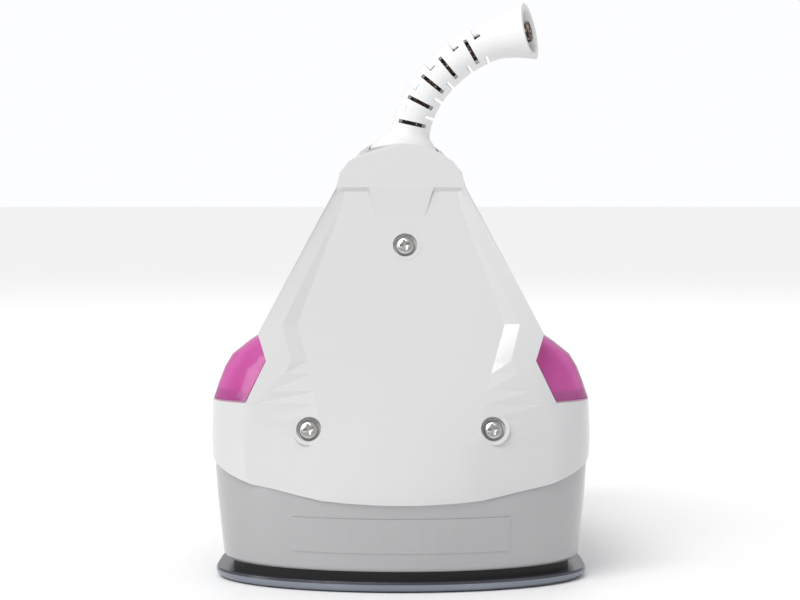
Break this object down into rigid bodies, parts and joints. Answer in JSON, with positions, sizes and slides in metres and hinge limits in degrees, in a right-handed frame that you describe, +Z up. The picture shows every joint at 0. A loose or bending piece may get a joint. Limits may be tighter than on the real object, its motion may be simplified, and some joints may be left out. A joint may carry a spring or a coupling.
{
  "type": "garment steamer",
  "caption": "Compact iron-shaped garment steamer with a tilted heel cover, translucent tank, open handle and a slotted swivel cord guard.",
  "frame": {"origin": "centre of the footprint, on the surface that the sole plate rests on", "axes": "+Z up from the sole plate, +Y towards the nose, +X to the right as seen from the heel"},
  "size_m": [0.1224, 0.216, 0.1856],
  "materials": {
    "sole_plate": "dark non-stick coating, satin",
    "sole_gasket": "black heat-proof gasket",
    "steam_chamber": "die-cast",
    "heating_element": "sheathed heater tube",
    "chamber_seal": "red silicone",
    "chamber_cover": "pressed sheet",
    "cover_screws": "zinc plated",
    "sole_studs": "zinc plated",
    "thermostat": "ceramic body with metal blades",
    "thermostat_spindle": "turned steel",
    "thermostat_dial": "white moulded, ribbed edge",
    "thermal_fuse": "white ceramic sleeve",
    "skirt": "light grey heat-resistant plastic, satin",
    "rating_label": "blank foil label",
    "lower_housing": "white, glossy",
    "heel_cover": "white, glossy",
    "heel_screws": "nickel plated, cross recess",
    "water_tank": "translucent magenta plastic",
    "upper_housing": "white, glossy",
    "handle_cover": "white, glossy",
    "grip_pad": "soft light grey grip",
    "steam_button": "magenta, glossy",
    "button_spring": "spring steel wire",
    "pump_piston": "natural acetal",
    "pump_body": "natural polypropylene",
    "pump_hose": "silicone hose",
    "regulator_knob": "light grey, ribbed",
    "valve_rod": "stainless rod",
    "dropper_tube": "silicone dropper",
    "filler_door": "white, glossy",
    "filler_gasket": "red silicone",
    "door_pin": "steel pin",
    "lamp_lens": "orange lens",
    "lamp": "neon lamp",
    "cord_guard": "white flexible guard",
    "guard_bearings": "acetal bearing blocks",
    "supply_lead": "braided textile sleeve",
    "cord_clamp": "grey nylon",
    "terminal_block": "white nylon",
    "inner_leads": "sheathed cores",
    "earth_tab": "plated tab",
    "housing_screws": "zinc plated"
  },
  "bodies": {
    "root": {"sole_plate": "sole_plate", "sole_gasket": "sole_gasket", "steam_chamber": "steam_chamber", "heating_element": "heating_element", "chamber_seal": "chamber_seal", "chamber_cover": "chamber_cover", "cover_screws": "cover_screws", "sole_studs": "sole_studs", "thermostat": "thermostat", "thermal_fuse": "thermal_fuse", "skirt": "skirt", "rating_label": "rating_label", "lower_housing": "lower_housing", "heel_cover": "heel_cover", "heel_screws": "heel_screws", "water_tank": "water_tank", "upper_housing": "upper_housing", "handle_cover": "handle_cover", "grip_pad": "grip_pad", "button_spring": "button_spring", "pump_body": "pump_body", "pump_hose": "pump_hose", "dropper_tube": "dropper_tube", "door_pin": "door_pin", "lamp_lens": "lamp_lens", "lamp": "lamp", "guard_bearings": "guard_bearings", "cord_clamp": "cord_clamp", "terminal_block": "terminal_block", "inner_leads": "inner_leads", "earth_tab": "earth_tab", "housing_screws": "housing_screws"},
    "guard": {"cord_guard": "cord_guard", "supply_lead": "supply_lead"},
    "dial": {"thermostat_dial": "thermostat_dial", "thermostat_spindle": "thermostat_spindle"},
    "knob": {"regulator_knob": "regulator_knob"},
    "valve": {"valve_rod": "valve_rod"},
    "button": {"steam_button": "steam_button", "pump_piston": "pump_piston"},
    "door": {"filler_door": "filler_door", "filler_gasket": "filler_gasket"}
  },
  "joints": [
    {"name": "guard_rock", "type": "hinge", "parent": "root", "child": "guard", "pos_m": [0.0006, -0.05054, 0.132], "axis": [0, 1, 0], "range_deg": [-22, 3]},
    {"name": "dial_turn", "type": "hinge", "parent": "root", "child": "dial", "pos_m": [0, -0.016, 0.09], "axis": [0, 0, 1], "range_deg": [0, 270]},
    {"name": "knob_turn", "type": "hinge", "parent": "root", "child": "knob", "pos_m": [0, 0.02, 0.09], "axis": [0, 0, 1], "range_deg": [0, 90]},
    {"name": "valve_lift", "type": "slide", "parent": "root", "child": "valve", "axis": [0, 0, 1], "range_m": [0, 0.003]},
    {"name": "button_press", "type": "slide", "parent": "root", "child": "button", "axis": [0, 0, -1], "range_m": [0, 0.0035], "stiffness_N_per_m": 300, "springref_m": -0.004, "deforming": ["button_spring"]},
    {"name": "door_open", "type": "hinge", "parent": "root", "child": "door", "pos_m": [0, 0.07064, 0.08794], "axis": [1, 0, 0], "range_deg": [0, 100]}
  ],
  "couplings": [
    {"joint": "valve_lift", "follows": "knob_turn", "m_per_rad": 0.0019099}
  ]
}
